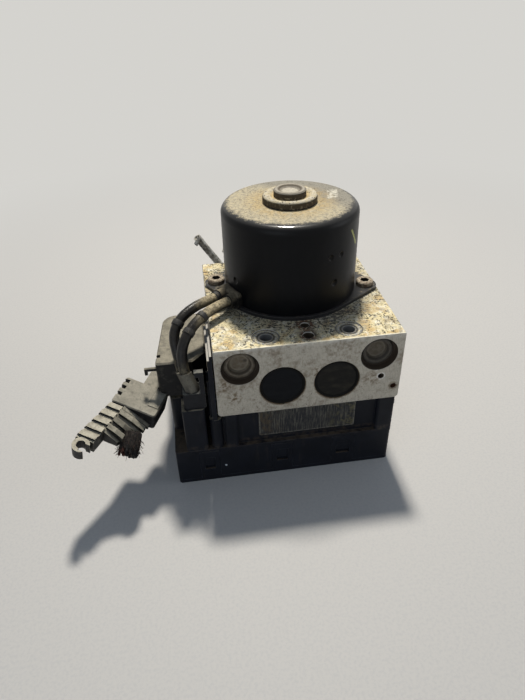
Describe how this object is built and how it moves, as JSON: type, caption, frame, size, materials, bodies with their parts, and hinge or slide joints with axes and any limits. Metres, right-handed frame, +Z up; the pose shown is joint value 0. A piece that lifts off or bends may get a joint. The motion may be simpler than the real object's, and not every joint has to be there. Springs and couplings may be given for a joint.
{
  "type": "abs brake module",
  "caption": "Anti-lock brake module: hydraulic block with pump motor on top and control unit below, cut harness plug and brake pipes attached.",
  "frame": {"origin": "centre of the control unit's flat base under the middle of the hydraulic block", "axes": "+Z up through the pump motor, -Y out of the face with the two round caps, +X away from the harness plug"},
  "size_m": [0.1753, 0.1372, 0.1491],
  "materials": {
    "machined_aluminium": "machined, stained and dusty",
    "motor_paint": "satin black paint under dust",
    "flange_steel": "zinc steel under oily dust",
    "plated_steel": "dull zinc plate",
    "bright_steel": "ground steel",
    "spring_steel": "oiled spring wire",
    "cap_black": "black pressed steel",
    "cap_brown": "black pressed steel, browned",
    "black_moulding": "black glass-filled moulding",
    "grey_moulding": "grey moulding under dust",
    "dusty_moulding": "black moulding under tan dust",
    "lead_rubber": "dusty rubber sleeve",
    "seal_rubber": "soft gasket",
    "board_green": "solder mask",
    "chip_black": "moulded packages",
    "copper": "enamelled copper",
    "bronze": "sintered bronze",
    "ferrite": "ferrite",
    "carbon": "carbon",
    "core_steel": "stacked laminations",
    "label_film": "bare worn label",
    "tinned_pin": "tinned"
  },
  "bodies": {
    "module": {"valve_block": "machined_aluminium", "accumulator_cap_left": "cap_black", "accumulator_cap_right": "cap_brown", "accumulator_spring_left": "spring_steel", "accumulator_spring_right": "spring_steel", "damper_plug_left": "plated_steel", "damper_plug_right": "plated_steel", "pump_plug_left": "plated_steel", "pump_plug_right": "plated_steel", "pump_cylinder_left": "bright_steel", "pump_cylinder_right": "bright_steel", "pump_spring_left": "spring_steel", "pump_spring_right": "spring_steel", "inlet_valves": "bright_steel", "outlet_valves": "bright_steel", "inlet_coils": "copper", "outlet_coils": "copper", "tube_nuts": "plated_steel", "brake_pipe_long": "plated_steel", "brake_pipe_short": "plated_steel", "motor_can": "motor_paint", "motor_flange": "flange_steel", "motor_screws": "plated_steel", "drive_bearing": "bright_steel", "top_bearing": "bright_steel", "motor_magnets": "ferrite", "pilot_bush": "bronze", "brush_holder": "black_moulding", "carbon_brushes": "carbon", "brush_springs": "spring_steel", "ecu_housing": "black_moulding", "ecu_cover": "black_moulding", "ecu_seal": "seal_rubber", "ecu_screws": "plated_steel", "circuit_board": "board_green", "board_chips": "chip_black", "connector_pins": "tinned_pin", "motor_pins": "tinned_pin", "label_plate": "label_film", "motor_grommet": "seal_rubber", "motor_lead_front": "lead_rubber", "motor_lead_rear": "lead_rubber", "lead_boot": "lead_rubber", "motor_plug": "dusty_moulding", "harness_plug": "dusty_moulding", "wire_cover": "grey_moulding", "hood_left": "dusty_moulding", "hood_right": "dusty_moulding", "harness_stub": "lead_rubber"},
    "rotor": {"motor_shaft": "bright_steel", "armature_core": "core_steel", "armature_winding": "copper", "commutator": "copper", "eccentric_bearing": "bright_steel"},
    "left_pump_piston": {"pump_piston_left": "bright_steel"},
    "right_pump_piston": {"pump_piston_right": "bright_steel"},
    "left_accumulator_piston": {"accumulator_piston_left": "bright_steel"},
    "right_accumulator_piston": {"accumulator_piston_right": "bright_steel"}
  },
  "joints": [
    {"name": "rotor_spin", "type": "hinge", "parent": "module", "child": "rotor", "pos_m": [0, 0.0115, 0.0695], "axis": [0, 0, 1], "continuous": true},
    {"name": "pump_stroke_left", "type": "slide", "parent": "module", "child": "left_pump_piston", "axis": [-1, 0, 0], "range_m": [0, 0.003], "stiffness_N_per_m": 2000, "deforming": ["pump_spring_left"]},
    {"name": "pump_stroke_right", "type": "slide", "parent": "module", "child": "right_pump_piston", "axis": [1, 0, 0], "range_m": [0, 0.003], "stiffness_N_per_m": 2000, "deforming": ["pump_spring_right"]},
    {"name": "accumulator_stroke_left", "type": "slide", "parent": "module", "child": "left_accumulator_piston", "axis": [0, -1, 0], "range_m": [0, 0.009], "stiffness_N_per_m": 2500, "deforming": ["accumulator_spring_left"]},
    {"name": "accumulator_stroke_right", "type": "slide", "parent": "module", "child": "right_accumulator_piston", "axis": [0, -1, 0], "range_m": [0, 0.009], "stiffness_N_per_m": 2500, "deforming": ["accumulator_spring_right"]}
  ]
}
